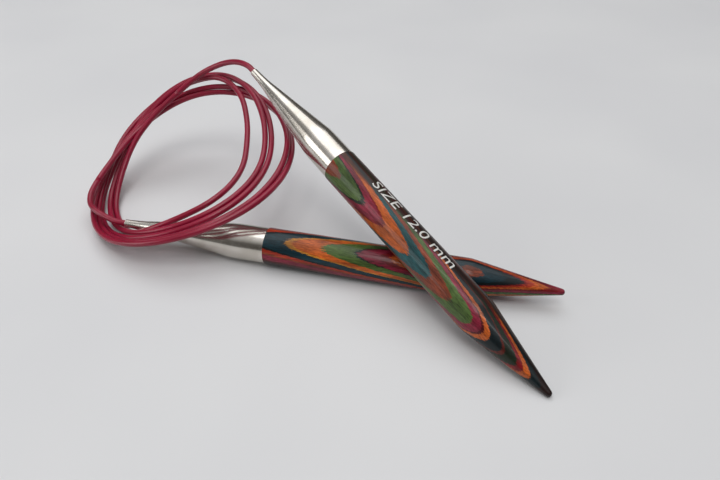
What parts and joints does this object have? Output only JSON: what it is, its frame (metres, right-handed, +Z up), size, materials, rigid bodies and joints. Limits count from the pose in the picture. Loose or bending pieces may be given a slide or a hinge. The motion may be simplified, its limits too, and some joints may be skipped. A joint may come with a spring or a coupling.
{
  "type": "circular knitting needle",
  "caption": "Circular knitting needle: thick laminated-wood needles with metal ferrules on one long flexible cable, lying crossed with the cable coiled.",
  "frame": {"origin": "bottom centre of the box round the two needles as they lie on the surface", "axes": "+Z up from the surface; +X along the longer side of the needles' footprint, towards the points; +Y away from the viewer, towards the ferrule mouth of needle A"},
  "size_m": [0.163, 0.1309, 0.0466],
  "materials": {
    "wood": "dyed laminated birch, polished and lacquered",
    "nickel": "nickel-plated brass, satin",
    "sleeve": "plain",
    "cable": "smooth, slightly translucent, crimson"
  },
  "bodies": {
    "cable": {"cable_coil": "cable", "cable_lead_a": "cable", "cable_lead_b": "cable"},
    "cable_end_a": {"cable_end_a": "cable"},
    "needle_a": {"wood_tip_a": "wood", "ferrule_a": "nickel", "crimp_sleeve_a": "sleeve"},
    "cable_end_b": {"cable_end_b": "cable"},
    "needle_b": {"wood_tip_b": "wood", "ferrule_b": "nickel", "crimp_sleeve_b": "sleeve"}
  },
  "joints": [
    {"name": "needle_a_lift", "type": "hinge", "parent": "cable", "child": "cable_end_a", "pos_m": [-0.02844, 0.05437, 0.04491], "axis": [-0.778, -0.6282, 0], "range_deg": [0, 45], "stiffness_Nm_per_rad": 0.1},
    {"name": "needle_a_twist", "type": "hinge", "parent": "cable_end_a", "child": "needle_a", "pos_m": [-0.02844, 0.05437, 0.04491], "axis": [0.5994, -0.7423, -0.2994], "range_deg": [-90, 90], "stiffness_Nm_per_rad": 0.026},
    {"name": "needle_b_swing", "type": "hinge", "parent": "cable", "child": "cable_end_b", "pos_m": [-0.07174, 0.01574, 0.006], "axis": [0, 0, 1], "range_deg": [0, 30], "stiffness_Nm_per_rad": 0.1},
    {"name": "needle_b_twist", "type": "hinge", "parent": "cable_end_b", "child": "needle_b", "pos_m": [-0.07174, 0.01574, 0.006], "axis": [0.9699, -0.2436, 0], "range_deg": [-90, 90], "stiffness_Nm_per_rad": 0.026}
  ]
}
